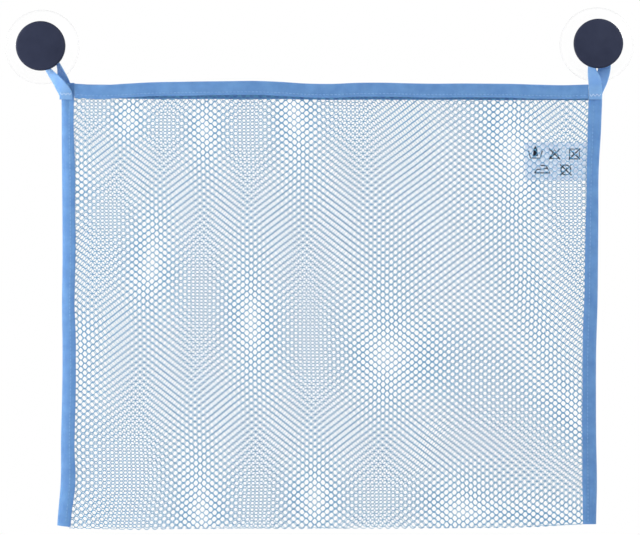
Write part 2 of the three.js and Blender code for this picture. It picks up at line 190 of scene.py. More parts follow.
def add_piece(name: str, tubes: Iterable[np.ndarray], crease: float = 40.0) -> bpy.types.Object:
    """Makes a smooth-shaded mesh object of closed tubes.

    Args:
        name: Name of the piece.
        tubes: Points of each tube in millimetres, by ring, place in the ring and axis.
        crease: Edges sharper than this many degrees stay crisp.

    Returns:
        The new object, linked to the scene.
    """
    places = []
    walls = []
    caps = []
    total = 0
    for tube in tubes:
        wall, cap = tube_faces(*tube.shape[:2])
        walls.append(wall + total)
        caps.append(cap + total)
        places.append(tube.reshape(-1, 3))
        total += len(places[-1])
    faces = [np.concatenate(walls), np.concatenate(caps)]
    corners = np.concatenate([kind.ravel() for kind in faces])
    counts = np.concatenate([np.full(len(kind), kind.shape[1]) for kind in faces])
    starts = np.concatenate([[0], np.cumsum(counts)[:-1]])
    mesh = bpy.data.meshes.new(name)
    mesh.vertices.add(total)
    mesh.vertices.foreach_set("co", (np.concatenate(places) * MM).astype(np.float32).ravel())
    mesh.loops.add(len(corners))
    mesh.loops.foreach_set("vertex_index", corners.astype(np.int32))
    mesh.polygons.add(len(counts))
    mesh.polygons.foreach_set("loop_start", starts.astype(np.int32))
    mesh.update(calc_edges=True)
    mesh.validate()
    mesh.shade_smooth()
    mesh.set_sharp_from_angle(angle=math.radians(crease))
    piece = bpy.data.objects.new(name, mesh)
    bpy.context.scene.collection.objects.link(piece)
    return piece


def sweep(outline: np.ndarray, at: np.ndarray, across: np.ndarray, through: np.ndarray) -> np.ndarray:
    """Carries a closed outline along a row of places.

    Args:
        outline: Points as (across, through), one outline or one for each place.
        at: The places.
        across: Direction of the outline's first axis, one for all places or one for each.
        through: Direction of its second axis, likewise.

    Returns:
        The tube's points.
    """
    aside = outline[..., :1] * across[..., None, :]
    return at[:, None] + aside + outline[..., 1:] * through[..., None, :]


def lathe(profile: Profile, middle: tuple[float, float], turns: int = 96) -> np.ndarray:
    """Turns a profile about an axis along Y.

    Args:
        profile: Rows of (radius, y), from the wall's side to the front.
        middle: The axis as (x, z).
        turns: Facets round the axis.

    Returns:
        The tube's points.
    """
    radius, y = np.array(profile).T[:, :, None]
    turn = np.arange(turns) * FULL_TURN / turns
    x = middle[0] + radius * np.cos(turn)
    z = middle[1] + radius * np.sin(turn)
    return np.stack([x, np.broadcast_to(y, x.shape), z], axis=-1)


def linear(shade: Shade) -> tuple[float, float, float, float]:
    """Turns a colour of 0 to 255, as a screen shows it, into the shader's light values.

    Args:
        shade: Red, green and blue.

    Returns:
        Red, green, blue and full cover.
    """
    parts = [part / 255 for part in shade]
    light = [p / 12.92 if p <= 0.04045 else ((p + 0.055) / 1.055) ** 2.4 for p in parts]
    return (*light, 1.0)


class NodeBoard:
    """The nodes of a material or a world, with short calls for those that are used here."""

    def __init__(self, owner: bpy.types.ID) -> None:
        """Starts with the owner's own nodes."""
        owner.use_nodes = True
        self.tree = owner.node_tree

    def feed(self, socket: Socket, value: object) -> None:
        """Links a socket to another one, or sets it to a value.

        Args:
            socket: The socket that is fed.
            value: A socket or a plain value.
        """
        if isinstance(value, Socket):
            self.tree.links.new(value, socket)
        else:
            socket.default_value = value

    def fill(self, node: bpy.types.Node, **sockets: object) -> None:
        """Feeds a node's sockets by name, with _ for a space in their names."""
        for name, value in sockets.items():
            self.feed(node.inputs[name.replace("_", " ")], value)

    def add(self, kind: str, **sockets: object) -> bpy.types.Node:
        """Adds a node and feeds its sockets.

        Args:
            kind: The node's kind, without the words that all kinds share.
            sockets: Sockets or values by name.

        Returns:
            The new node.
        """
        node = self.tree.nodes.new(f"ShaderNode{kind}")
        self.fill(node, **sockets)
        return node

    def math(self, kind: str, first: object, second: object) -> Socket:
        """Joins two patterns, or a pattern and a number, by a sum of the named kind.

        Args:
            kind: The sum's kind.
            first: A socket.
            second: A socket or a number.

        Returns:
            The result's socket.
        """
        node = self.add("Math")
        node.operation = kind
        self.feed(node.inputs[0], first)
        self.feed(node.inputs[1], second)
        return node.outputs[0]


class SurfaceBoard(NodeBoard):
    """The nodes of one material, with patterns in millimetres that shape its principled shader."""

    ramp_ends = (0.25, 0.75)

    def __init__(self, name: str) -> None:
        """Starts a material that has its principled shader alone.

        Args:
            name: The material's name.
        """
        self.material = bpy.data.materials.new(name)
        super().__init__(self.material)
        self.shader = self.tree.nodes["Principled BSDF"]
        self.place = self.add("TexCoord").outputs["Object"]

    def set(self, **sockets: object) -> None:
        """Feeds the shader's own sockets."""
        self.fill(self.shader, **sockets)

    def noise(self, size: float, detail: float = 2.0) -> Socket:
        """A cloudy pattern whose lumps are about this size."""
        node = self.add("TexNoise", Vector=self.place, Scale=1 / (size * MM), Detail=detail)
        return node.outputs["Fac"]

    def ribs(self, pitch: float, direction: str) -> Socket:
        """Fine parallel ribs, slightly uneven.

        Args:
            pitch: Distance from rib to rib.
            direction: The axis that they follow one another along.

        Returns:
            The pattern's socket.
        """
        scale = RIB_SPACING / (pitch * MM)
        node = self.add("TexWave", Vector=self.place, Scale=scale, Distortion=0.6, Detail_Scale=2.0)
        node.bands_direction = direction
        return node.outputs["Fac"]

    def clouded(self, fine: Socket, share: float, cloud: float, cloud_share: float) -> Socket:
        """Adds up a fine pattern and clouds of a size, each by its share."""
        clouds = self.math("MULTIPLY", self.noise(cloud), cloud_share)
        return self.math("ADD", clouds, self.math("MULTIPLY", fine, share))

    def color(self, pattern: Socket, dark: Shade, light: Shade) -> None:
        """Colours the surface by a pattern.

        Args:
            pattern: The pattern.
            dark: Colour where the pattern is low.
            light: Colour where it is high.
        """
        ramp = self.add("ValToRGB", Fac=pattern)
        for stop, position, shade in zip(ramp.color_ramp.elements, self.ramp_ends, (dark, light)):
            stop.position = position
            stop.color = linear(shade)
        self.set(Base_Color=ramp.outputs["Color"])

    def rough(self, pattern: Socket, low: float, high: float) -> None:
        """Varies the roughness between two values by a pattern."""
        node = self.add("MapRange", Value=pattern, To_Min=low, To_Max=high)
        self.set(Roughness=node.outputs["Result"])

    def bump(self, pattern: Socket, height: float, strength: float) -> None:
        """Raises the surface by a pattern."""
        node = self.add("Bump", Height=pattern, Distance=height * MM, Strength=strength)
        self.set(Normal=node.outputs["Normal"])


@dataclass(frozen=True)
class Finish:
    """A finish, with its darkest and its lightest shade."""

    name: str
    dark: Shade
    light: Shade

    def lay(self, board: SurfaceBoard) -> None:
        """Lays the patterns on the shader: each kind of finish has its own."""
        raise NotImplementedError

    def make(self) -> bpy.types.Material:
        """Makes the material.

        Returns:
            The material.
        """
        board = SurfaceBoard(self.name)
        self.lay(board)
        return board.material


@dataclass(frozen=True)
class WovenTape(Finish):
    """Plain woven tape with fine crossing yarns and a soft sheen.

    The glow is how many millimetres of tape the light passes through.
    """

    glow: float
    yarn: float = 0.55
    weft_share: float = 0.9

    def lay(self, board: SurfaceBoard) -> None:
        """Lays the patterns on the shader.

        Args:
            board: The material's nodes.
        """
        weft = board.ribs(self.yarn * self.weft_share, "Z")
        weave = board.math("MULTIPLY", board.ribs(self.yarn, "X"), weft)
        pattern = board.clouded(weave, share=0.3, cloud=9.0, cloud_share=0.75)
        board.color(pattern, self.dark, self.light)
        board.rough(board.noise(size=1.5), low=0.7, high=0.9)
        board.bump(weave, height=0.12, strength=0.5)
        board.set(Sheen_Weight=0.4, Sheen_Roughness=0.5, Specular_IOR_Level=0.3)
        board.set(Subsurface_Weight=0.7, Subsurface_Scale=self.glow * MM)
        board.set(Subsurface_Radius=(1.0, 1.0, 1.0))


@dataclass(frozen=True)
class TwistedYarn(Finish):
    """Yarn or thread of fine twisted strands."""

    strand: float

    def lay(self, board: SurfaceBoard) -> None:
        """Lays the patterns on the shader.

        Args:
            board: The material's nodes.
        """
        twist = board.ribs(self.strand, "DIAGONAL")
        pattern = board.clouded(twist, share=0.2, cloud=6.0, cloud_share=0.8)
        board.color(pattern, self.dark, self.light)
        board.rough(board.noise(size=2.0), low=0.6, high=0.8)
        board.bump(twist, height=0.06, strength=0.4)
        board.set(Sheen_Weight=0.15, Sheen_Roughness=0.5, Specular_IOR_Level=0.35)


@dataclass(frozen=True)
class ClearMoulding(Finish):
    """Clear soft plastic with a glossy skin."""

    def lay(self, board: SurfaceBoard) -> None:
        """Lays the patterns on the shader.

        Args:
            board: The material's nodes.
        """
        cloud = board.noise(size=14.0)
        board.color(cloud, self.dark, self.light)
        board.rough(board.noise(size=3.0), low=0.03, high=0.1)
        board.bump(cloud, height=0.05, strength=0.1)
        board.set(Transmission_Weight=1.0, IOR=1.42)


@dataclass(frozen=True)
class MatteMoulding(Finish):
    """Soft matte plastic with a fine moulded grain."""

    def lay(self, board: SurfaceBoard) -> None:
        """Lays the patterns on the shader.

        Args:
            board: The material's nodes.
        """
        grain = board.noise(size=0.45, detail=3.0)
        pattern = board.clouded(grain, share=0.2, cloud=11.0, cloud_share=0.8)
        board.color(pattern, self.dark, self.light)
        board.rough(grain, low=0.45, high=0.62)
        board.bump(grain, height=0.05, strength=0.35)
        board.set(Specular_IOR_Level=0.2)


@dataclass(frozen=True)
class PaleFilm(Finish):
    """Thin film, or the ink on it, a little uneven; clear is the share of light that it lets through."""

    clear: float

    def lay(self, board: SurfaceBoard) -> None:
        """Lays the patterns on the shader.

        Args:
            board: The material's nodes.
        """
        cloud = board.noise(size=7.0)
        board.color(cloud, self.dark, self.light)
        board.rough(cloud, low=0.4, high=0.6)
        board.bump(board.noise(size=2.0), height=0.08, strength=0.25)
        board.set(Transmission_Weight=self.clear, IOR=1.3)


class Finishes:
    """Every finish, made once."""

    def __init__(self) -> None:
        """Makes the materials."""
        kinds = {
            "tape": WovenTape("woven_binding", (90, 137, 193), (112, 159, 211), glow=1.2),
            "loop_tape": WovenTape("woven_loop", (116, 161, 216), (135, 178, 226), glow=2.0),
            "net": TwistedYarn("net_yarn", (84, 148, 190), (108, 172, 211), strand=0.3),
            "thread": TwistedYarn("sewing_thread", (104, 150, 206), (132, 174, 222), strand=0.22),
            # The bartack's thread is the sewing thread painted near white: a painted highlight for the
            # glints on its zigzag.
            "pale_thread": TwistedYarn("bartack_thread", (172, 202, 238), (206, 226, 248), strand=0.22),
            "clear_plastic": ClearMoulding("clear_cup", (254, 254, 254), (255, 255, 255)),
            "navy_plastic": MatteMoulding("navy_knob", (30, 36, 58), (40, 46, 68)),
            "label_film": PaleFilm("label_film", (222, 231, 247), (236, 244, 253), clear=0.8),
            "label_ink": PaleFilm("label_ink", (14, 20, 34), (26, 34, 50), clear=0.0),
        }
        self.materials = {name: kind.make() for name, kind in kinds.items()}

    def dress(
        self, piece: bpy.types.Object, slot: str, body: str | None, *nodes: str, finish: str | None = None
    ) -> None:
        """Gives a piece its finish, the body that carries it and the nodes that it stands for.

        Args:
            piece: The piece.
            slot: The record's material slot.
            body: The body that the piece rides on, or None to leave it unattached.
            nodes: The nodes that the piece stands for.
            finish: The finish, where it isn't the one that the slot is named for.
        """
        piece.data.materials.append(self.materials[finish or slot])
        if body is not None:
            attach(piece, body)
        if nodes:
            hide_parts(*nodes)
        log.info("%s: %d faces", piece.name, len(piece.data.polygons))


@dataclass(frozen=True)
class PouchShape:
    """Sizes and curves that every sewn piece follows."""

    width: float = 445.8
    top: float = -31.5
    bottom: float = -401.5
    middle_y: float = -16.0
    bulge: float = 7.0
    side_tape: float = 10.8
    net_spread: float = 1.05
    seam_spread: float = 0.55
    seam_reach: float = 15.0
    rim_reach: float = 15.0
    fold_radius: float = 1.05
    fold_z: float = -400.25
    sag_reach: float = 70.0
    tuck_lift: float = 2.2
    tuck_reach: float = 3.0
    # How far each side's outer edge wanders, and its tape's width, at equal steps from the top down.
    left_wander: Row = (0.4, 0.4, 0.2, -0.1, -0.2, 0.2, -0.2, 0.1, 1.0, 1.3, 4.2)
    right_wander: Row = (4.6, 3.6, 1.5, 1.3, 1.0, 0.6, -0.5, -0.7, -0.5, 0.1, -0.6)
    left_tape: Row = (10.7, 10.2, 11.2, 11.0, 11.0, 10.7, 11.4, 11.5, 11.5, 12.3, 11.2)
    right_tape: Row = (11.4, 11.3, 9.9, 10.6, 11.0, 11.4, 11.5, 11.4, 11.8, 12.2, 11.0)
    # How far the fold sags at equal steps from left to right.
    fold_sag: Row = (1.5, 2.3, 1.7, 1.6, 1.5, 1.4, 1.2, 1.0, 0.2, -1.8)

    def down_side(self, values: Row, z: np.ndarray) -> np.ndarray:
        """Values of a row that runs down the pouch's whole height, at given heights."""
        return smooth_row(values, (self.top - z) / (self.top - self.bottom))

    def edge(self, side: Side, z: np.ndarray) -> np.ndarray:
        """Outer edge of the pouch at a height, as a distance from the middle."""
        shifts = self.left_wander if side is Side.LEFT else self.right_wander
        return self.width / 2 + self.down_side(shifts, z)

    def tape(self, side: Side, z: np.ndarray) -> np.ndarray:
        """Width of a side binding at a height."""
        return self.down_side(self.left_tape if side is Side.LEFT else self.right_tape, z)

    def seam(self, side: Side, z: np.ndarray) -> np.ndarray:
        """Inner edge of a side binding at a height, as a distance from the middle."""
        return self.edge(side, z) - self.tape(side, z)

    def seam_beside(self, x: np.ndarray, z: np.ndarray) -> np.ndarray:
        """Distance from the middle to the seam on the same side as a place."""
        return np.where(x < 0, self.seam(Side.LEFT, z), self.seam(Side.RIGHT, z))

    def below_rim(self, z: np.ndarray) -> np.ndarray:
        """Eases from 0 behind the rim's tape to 1 below it."""
        return smooth_step((self.top - self.rim_reach - z) / self.rim_reach)

    def sag(self, x: np.ndarray, z: np.ndarray) -> np.ndarray:
        """How far a net hangs lower: more toward the fold, less inside the side tapes.

        Args:
            x: Place along the rim.
            z: Height before it sags.

        Returns:
            The sag at each place.
        """
        low = smooth_step((self.fold_z + self.sag_reach - z) / self.sag_reach)
        tucked = self.tuck_lift * smooth_step((np.abs(x) - self.seam_beside(x, z)) / self.tuck_reach)
        return low * (smooth_row(self.fold_sag, 0.5 + x / (self.width - 2 * self.side_tape)) - tucked)

    def spread(self, x: np.ndarray, z: np.ndarray) -> np.ndarray:
        """Distance of each net from the pouch's middle plane: drawn in at the seams below the rim."""
        inside = smooth_step((self.seam_beside(x, z) - np.abs(x)) / self.seam_reach)
        return self.net_spread - (self.net_spread - self.seam_spread) * (1 - inside) * self.below_rim(z)

    def net_y(self, face: Face, x: np.ndarray, z: np.ndarray) -> np.ndarray:
        """Depth of a net's middle: the front one bows out.

        Args:
            face: The net's face of the pouch.
            x: Place along the rim.
            z: Height.

        Returns:
            The depth at each place.
        """
        y = self.middle_y + face.value * self.spread(x, z)
        if face is Face.BACK:
            return y
        across = np.clip(x / self.seam_beside(x, z), -1, 1)
        up = np.clip((z - self.fold_z) / (self.top - self.fold_z), 0, 1)
        return y - self.bulge * (1 - across**2) * (1 - (1 - up) ** 3)

    def swing_with_mouth(self, piece: bpy.types.Object, side: Side) -> None:
        """Bakes a front piece's placement into its mesh.

        Args:
            piece: The piece.
            side: The side that it lies on; not used.
        """
        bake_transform(piece)


@dataclass(frozen=True)
class ClothPull:
    """How far one net lies out of true over the other, as a smooth sum over the panel.

    The numbers are shares of a cell, for 1, u, v, uu, uv, vv, uuu, uuv, uvv and vvv, where u runs
    along the rim and v up from the middle of the panel.
    """

    across: Row = (-0.1, -0.15, -0.45, 0.15, 0.25, 0.15, -0.1, 0.25, 0.45, -0.1)
    down: Row = (0.65, 1.75, 0.15, -1.05, -0.05, 0.1, -0.65, -0.65, 0.25, 0.0)
    half_width: float = 200.0
    half_height: float = 180.0
    middle_z: float = -215.0
    furthest_u: float = 1.1
    furthest_v: float = 1.05

    def at(self, x: np.ndarray, z: np.ndarray) -> tuple[np.ndarray, np.ndarray]:
        """Gives the pull at places.

        Args:
            x: Place along the rim.
            z: Height.

        Returns:
            The pull along X and down, in cells.
        """
        u = np.clip(x / self.half_width, -self.furthest_u, self.furthest_u)
        v = np.clip((z - self.middle_z) / self.half_height, -self.furthest_v, self.furthest_v)
        terms = (np.ones_like(u), u, v, u * u, u * v, v * v, u**3, u * u * v, u * v * v, v**3)
        across = sum(share * term for share, term in zip(self.across, terms))
        down = sum(share * term for share, term in zip(self.down, terms))
        return across, down


@dataclass
class NetPanel:
    """A knitted net: level yarns that swing up and down and meet their neighbours at knots.

    The two panels are pulled out of true by opposite halves. The back panel takes in the fold.
    """

    shape: PouchShape
    face: Face
    cell_width: float = 6.883
    row_height: float = 2.667
    top: float = -38.5
    tuck: float = 4.2
    spare_rows: int = 4
    fewest_points: int = 6
    swing_share: float = 0.46
    knot_half_width: float = 0.295
    yarn_half_width: float = 0.25
    knot_half_depth: float = 0.3
    yarn_half_depth: float = 0.25
    cloth_share: float = 0.39
    crease: float = 80.0
    map_margin: float = 0.01
    pull: ClothPull = ClothPull()
    # Both panels wander together, along two slanting directions.
    loose: Wander = Wander(31, 0.5, 190.0, 3)
    slant_across: float = 0.6
    slant_down: float = 0.7
    # Places of the points within a cell's width, with the yarn's swing there.
    steps: Row = (-0.12, 0.12, 0.25, 0.38, 0.62, 0.75)
    swings: Row = (1.0, 1.0, 0.0, -1.0, -1.0, 0.0)

    @property
    def reach(self) -> float:
        """Distance from the middle to the yarns' ends inside a side tape of even width."""
        return self.shape.width / 2 - self.shape.side_tape + self.tuck

    @property
    def length(self) -> float:
        """Length of the cloth from the panel's top down to its end at the fold."""
        flat = self.top - self.shape.fold_z
        return flat + math.pi * self.shape.fold_radius if self.face is Face.BACK else flat

    def shift(self, x: np.ndarray, down: np.ndarray) -> tuple[np.ndarray, np.ndarray]:
        """How far this panel is pulled out of true.

        Args:
            x: Place along the rim.
            down: Distance below the panel's top.

        Returns:
            The pull along X and down.
        """
        across, drop = self.pull.at(x, self.top - down)
        share = -0.5 * self.face.value
        pull_x = share * across * self.cell_width + self.loose.at(x * self.slant_across + down)
        pull_down = share * drop * 2 * self.row_height + self.loose.at(x - down * self.slant_down)
        return pull_x, pull_down

    def place(self, x: np.ndarray, down: np.ndarray) -> tuple[np.ndarray, np.ndarray]:
        """Puts places on the flat cloth where they hang.

        Args:
            x: Place along the rim.
            down: Distance below the panel's top, along the cloth.

        Returns:
            The points and the cloth's backward direction there.
        """
        shape = self.shape
        past = np.maximum(down - (self.top - shape.fold_z), 0.0)
        turn = np.minimum(past / shape.fold_radius, math.pi)
        z = np.maximum(self.top - down, shape.fold_z)
        y = shape.net_y(self.face, x, z)
        if self.face is Face.BACK:
            y = shape.middle_y + (y - shape.middle_y) * np.cos(turn)
        hung = z - shape.sag(x, z) - shape.fold_radius * np.sin(turn)
        points = np.stack([x, y, hung], axis=-1)
        backward = np.stack([np.zeros_like(x), np.cos(turn), -np.sin(turn)], axis=-1)
        return points, backward

    def row_points(self) -> tuple[np.ndarray, np.ndarray]:
        """Places of the points along half a yarn.

        Returns:
            Distances from the middle, and the yarn's swing there.
        """
        cells = math.ceil(self.reach / self.cell_width)
        along = (np.arange(cells)[:, None] + np.array(self.steps)).ravel() * self.cell_width
        swing = np.tile(self.swings, cells)
        kept = along < self.reach
        return np.maximum(along[kept], 0.0), swing[kept]

    def yarn(self, side: Side, number: int) -> np.ndarray:
        """Makes half a yarn, from the middle to one side, as far as it lies in the panel.

        Args:
            side: The side that it runs to.
            number: The yarn's number from the top.

        Returns:
            Rings of four points each, in order along X, or none where it lies outside.
        """
        along, swing = self.row_points()
        base = np.full(len(along), number * self.row_height)
        z = np.clip(self.top - base, self.shape.bottom, self.shape.top)
        x = side.value * along * (self.shape.seam(side, z) + self.tuck) / self.reach
        pull_x, pull_down = self.shift(x, base)
        level = base + pull_down
        inside = np.flatnonzero((level >= 0) & (level <= self.length))
        if len(inside) < self.fewest_points:
            return np.empty((0, 4, 3))
        kept = slice(inside[0], inside[-1] + 1)
        turned = self.swing_share * self.row_height * (1 if number % 2 == 0 else -1)
        x = (x + pull_x)[kept]
        down = (level + turned * swing)[kept]
        run_x = np.gradient(x)
        run_down = np.gradient(down)
        length = np.hypot(run_x, run_down)
        knot = np.abs(swing[kept])
        half = self.yarn_half_width + (self.knot_half_width - self.yarn_half_width) * knot
        depth = self.yarn_half_depth + (self.knot_half_depth - self.yarn_half_depth) * knot
        aside_x = -run_down / length * half
        aside_down = run_x / length * half
        middle, backward = self.place(x, down)
        upper, _ = self.place(x - aside_x, down - aside_down)
        lower, _ = self.place(x + aside_x, down + aside_down)
        front = middle - backward * depth[:, None]
        back = middle + backward * depth[:, None]
        rings = np.stack([upper, front, lower, back], axis=1)
        return rings if side is Side.RIGHT else rings[::-1]

    def lay_flat_map(self, piece: bpy.types.Object) -> None:
        """Gives a piece a flat map for baking, as the net lies seen from the front.

        Args:
            piece: The piece.
        """
        mesh = piece.data
        places = np.empty(len(mesh.vertices) * 3, dtype=np.float32)
        mesh.vertices.foreach_get("co", places)
        flat = places.reshape(-1, 3)[:, [0, 2]]
        low = flat.min(axis=0)
        flat = self.map_margin + (1 - 2 * self.map_margin) * (flat - low) / (flat.max(axis=0) - low)
        corners = np.empty(len(mesh.loops), dtype=np.int32)
        mesh.loops.foreach_get("vertex_index", corners)
        layer = mesh.uv_layers.new(name="OFBake")
        layer.uv.foreach_set("vector", flat[corners].astype(np.float32).ravel())

    def build(self, finishes: Finishes) -> None:
        """Builds the panel in quarters, each a piece of its own.

        Args:
            finishes: All finishes.
        """
        front = self.face is Face.FRONT
        rows = math.ceil(self.length / self.row_height)
        middle = rows // 2
        levels = {"upper": (-self.spare_rows, middle), "lower": (middle, rows + self.spare_rows)}
        nodes = ["front_net"] if front else ["back_net", "bottom_fold"]
        for level, numbers in levels.items():
            for side in Side:
                yarns = [self.yarn(side, number) for number in range(*numbers)]
                name = f"{self.face.word}_net_{level}_{side.word}"
                piece = add_piece(name, [rings for rings in yarns if len(rings) > 0], self.crease)
                self.lay_flat_map(piece)
                finishes.dress(piece, "net", None if front else "bag", *nodes)
                nodes = []
                if front:
                    self.shape.swing_with_mouth(piece, side)


@dataclass
class Stitching:
    """Rows of single stitches."""

    length: float = 3.1
    gap: float = 0.7
    lead_in: float = 0.5
    radius: float = 0.3
    sides: int = 6
    # Rings of one stitch: place along it, share of its radius, and height in radii.
    rings: tuple[tuple[float, float, float], ...] = (
        (0.0, 0.35, -0.9),
        (0.12, 0.85, 0.0),
        (0.35, 1.0, 0.45),
        (0.65, 1.0, 0.45),
        (0.88, 0.85, 0.0),
        (1.0, 0.35, -0.9),
    )

    def bodies(self, starts: np.ndarray, ends: np.ndarray, outward: np.ndarray) -> np.ndarray:
        """Makes one rounded tube for each stitch.

        Args:
            starts: Where the stitches come up.
            ends: Where they go down.
            outward: Direction away from the cloth, one for all stitches or one for each.

        Returns:
            The tubes' points.
        """
        along, size, height = np.array(self.rings).T[:, :, None]
        run = ends - starts
        slope = np.sum(outward * run, axis=-1, keepdims=True) / np.sum(run**2, axis=-1, keepdims=True)
        lift = unit(outward - run * slope)
        aside = unit(np.cross(run, lift))
        turn = np.arange(self.sides)[:, None] * FULL_TURN / self.sides
        middle = starts[:, None] + along * run[:, None] + height * self.radius * lift[:, None]
        ring = np.cos(turn) * aside[:, None] + np.sin(turn) * lift[:, None]
        return middle[:, :, None] + self.radius * size[:, None] * ring[:, None]

    def row(self, path: np.ndarray, outward: np.ndarray) -> np.ndarray:
        """Sews along a path.

        Args:
            path: Points along the row, close together.
            outward: Direction away from the cloth, one for all points or one for each.

        Returns:
            The stitches' points.
        """
        reach = np.concatenate([[0], np.cumsum(np.linalg.norm(np.diff(path, axis=0), axis=1))])
        begin = np.arange(self.lead_in, reach[-1] - self.length, self.length)
        end = begin + self.length - self.gap

        def on_path(distance: np.ndarray, values: np.ndarray) -> np.ndarray:
            """Values of the path at distances along it."""
            return np.stack([np.interp(distance, reach, column) for column in values.T], axis=-1)

        facing = on_path((begin + end) / 2, np.broadcast_to(outward, path.shape))
        return self.bodies(on_path(begin, path), on_path(end, path), facing)


@dataclass
class FoldedTape:
    """Tape folded lengthwise over an edge, drawn in along its stitch row."""

    width: float
    half_depth: float
    leaf: float = 0.4
    stitch_inset: float = 4.0
    dip: float = 0.22
    dip_reach: float = 1.1
    dip_between: float = 0.3
    puff: float = 0.0
    puff_place: float = 0.48
    puff_reach: float = 1.9
    thread_lift: float = 0.1
    skin: float = 0.05
    nose_steps: int = 10
    shoulder: float = 0.6
    selvedge: float = 0.15
    lip_outside: float = 0.12
    lip_inside: float = 0.08
    # How far the loose edge wanders across and through, each with its longest wave.
    waver: tuple[float, float] = (0.16, 70.0)
    flutter: tuple[float, float] = (0.14, 55.0)
    # Points on a leaf: shares of the way to the stitch row, and distances on either side of it.
    shares: Row = (0.4, 0.55)
    beside_row: Row = (-1.6, -0.7, 0.0, 0.7, 1.6)

    @property
    def row(self) -> float:
        """Distance from the fold to the stitch row."""
        return self.width - self.stitch_inset

    @property
    def thread_level(self) -> float:
        """Height of the stitches over the tape's middle."""
        return self.half_depth - self.dip + self.thread_lift

    def outline(self) -> np.ndarray:
        """Outline of the tape: a round nose at 0 and two leaves that reach to the width.

        Returns:
            Points as (across, through).
        """
        half = self.half_depth
        slot = half - self.leaf
        row = self.row
        tip = self.width - self.selvedge
        turn = math.pi * (0.5 + np.arange(self.nose_steps + 1) / self.nose_steps)
        nose = np.stack([half + half * np.cos(turn), half * np.sin(turn)], axis=1)
        nearer = [half + self.shoulder, *(row * share for share in self.shares)]
        outer = [(a, -half) for a in (*nearer, *(row + step for step in self.beside_row), tip)]
        lip = [(self.width, self.lip_outside - half), (self.width, -self.lip_inside - slot)]
        inner = [(a, -slot) for a in (tip, row, row * 0.5, half)]
        leaf = [*outer, *lip, *inner]
        return np.array([*nose, *leaf, *((a, -t) for a, t in reversed(leaf))])

    def outlines(self, along: np.ndarray, stitch: float, seed: int) -> np.ndarray:
        """Outlines at places along the tape, puckered by the stitches.

        Args:
            along: Distance along the tape at each place.
            stitch: Length of one stitch.
            seed: Number that the tape's unevenness comes from.

        Returns:
            One outline for each place.
        """
        base = self.outline()
        out, height = base.T
        rings = np.repeat(base[None], len(along), axis=0)
        outside = np.abs(height) > self.half_depth - self.skin
        near = np.exp(-(((out - self.row) / self.dip_reach) ** 2))
        middle = (1 + self.dip_between) / 2
        wave = middle + (1 - middle) * np.cos(FULL_TURN * along / stitch)
        sink = (self.dip * wave)[:, None] * (near * outside)
        puffed = np.exp(-(((out - self.row * self.puff_place) / self.puff_reach) ** 2))
        swell = self.puff * puffed * outside
        rings[:, :, 1] += np.sign(height) * (swell - sink)
        share = out / self.width
        rings[:, :, 0] += Wander(seed, *self.waver).at(along)[:, None] * share
        rings[:, :, 1] += Wander(seed + 1, *self.flutter).at(along)[:, None] * share**2
        return rings


@dataclass
class RimBinding:
    """The taped top edge of one net, with its stitch row."""

    shape: PouchShape
    face: Face
    width: float = 11.7
    half_depth: float = 0.9
    stitch_inset: float = 2.5
    end_gap: float = 0.15
    end_depth: float = 13.6
    step: float = 0.8
    seed: int = 11
    # Height of the top edge at equal steps from the left seam to the right one.
    front_top: Row = (
        -32.1, -33.3, -32.2, -31.1, -30.7, -30.4, -30.2, -30.0, -30.8, -32.2, -32.5, -31.6,
        -31.5, -32.0, -32.3, -32.1, -32.2, -32.4, -33.0, -33.4, -32.8,
    )
    back_top: Row = (-32.6, -33.1, -33.3, -33.3, -33.8, -33.8, -34.0, -34.2, -34.1)

    def top_line(self, x: np.ndarray) -> np.ndarray:
        """Top edge of the tape.

        Args:
            x: Places along the rim.

        Returns:
            The edge's point at each place.
        """
        top = np.full_like(x, self.shape.top)
        left = -self.shape.seam(Side.LEFT, top)
        right = self.shape.seam(Side.RIGHT, top)
        row = self.front_top if self.face is Face.FRONT else self.back_top
        z = smooth_row(row, (x - left) / (right - left))
        return np.stack([x, self.shape.net_y(self.face, x, top), z], axis=-1)

    def places(self, side: Side) -> np.ndarray:
        """Places from the middle to the narrower end of one seam behind the tape.

        Args:
            side: The seam's side.

        Returns:
            The places in order along X.
        """
        ends = np.array([self.shape.top, self.shape.top - self.end_depth])
        end = float(self.shape.seam(side, ends).min()) - self.end_gap
        return np.sort(side.value * np.linspace(0.0, end, int(end / self.step)))

    def build(self, finishes: Finishes) -> None:
        """Builds each half of the rim with its stitches.

        Args:
            finishes: All finishes.
        """
        front = self.face is Face.FRONT
        body = None if front else "bag"
        word = f"{self.face.word}_rim"
        tape = FoldedTape(self.width, self.half_depth, stitch_inset=self.stitch_inset)
        stitching = Stitching()
        tape_nodes = [f"{word}_binding"]
        thread_nodes = [f"{word}_thread"]
        for side in Side:
            x = self.places(side)
            at = self.top_line(x)
            through = unit(np.cross(unit(np.gradient(at, axis=0)), -ALONG_Z))
            outlines = tape.outlines(x, stitching.length, self.seed + self.face.value)
            piece = add_piece(f"{word}_tape_{side.word}", [sweep(outlines, at, -ALONG_Z, through)])
            finishes.dress(piece, "tape", body, *tape_nodes)
            outward = through * self.face.value
            path = at - ALONG_Z * tape.row + outward * tape.thread_level
            from_middle = slice(None, None, side.value)
            stitches = stitching.row(path[from_middle], outward[from_middle])
            thread = add_piece(f"{word}_stitches_{side.word}", stitches)
            finishes.dress(thread, "thread", body, *thread_nodes)
            tape_nodes = []
            thread_nodes = []
            if front:
                self.shape.swing_with_mouth(piece, side)
                self.shape.swing_with_mouth(thread, side)


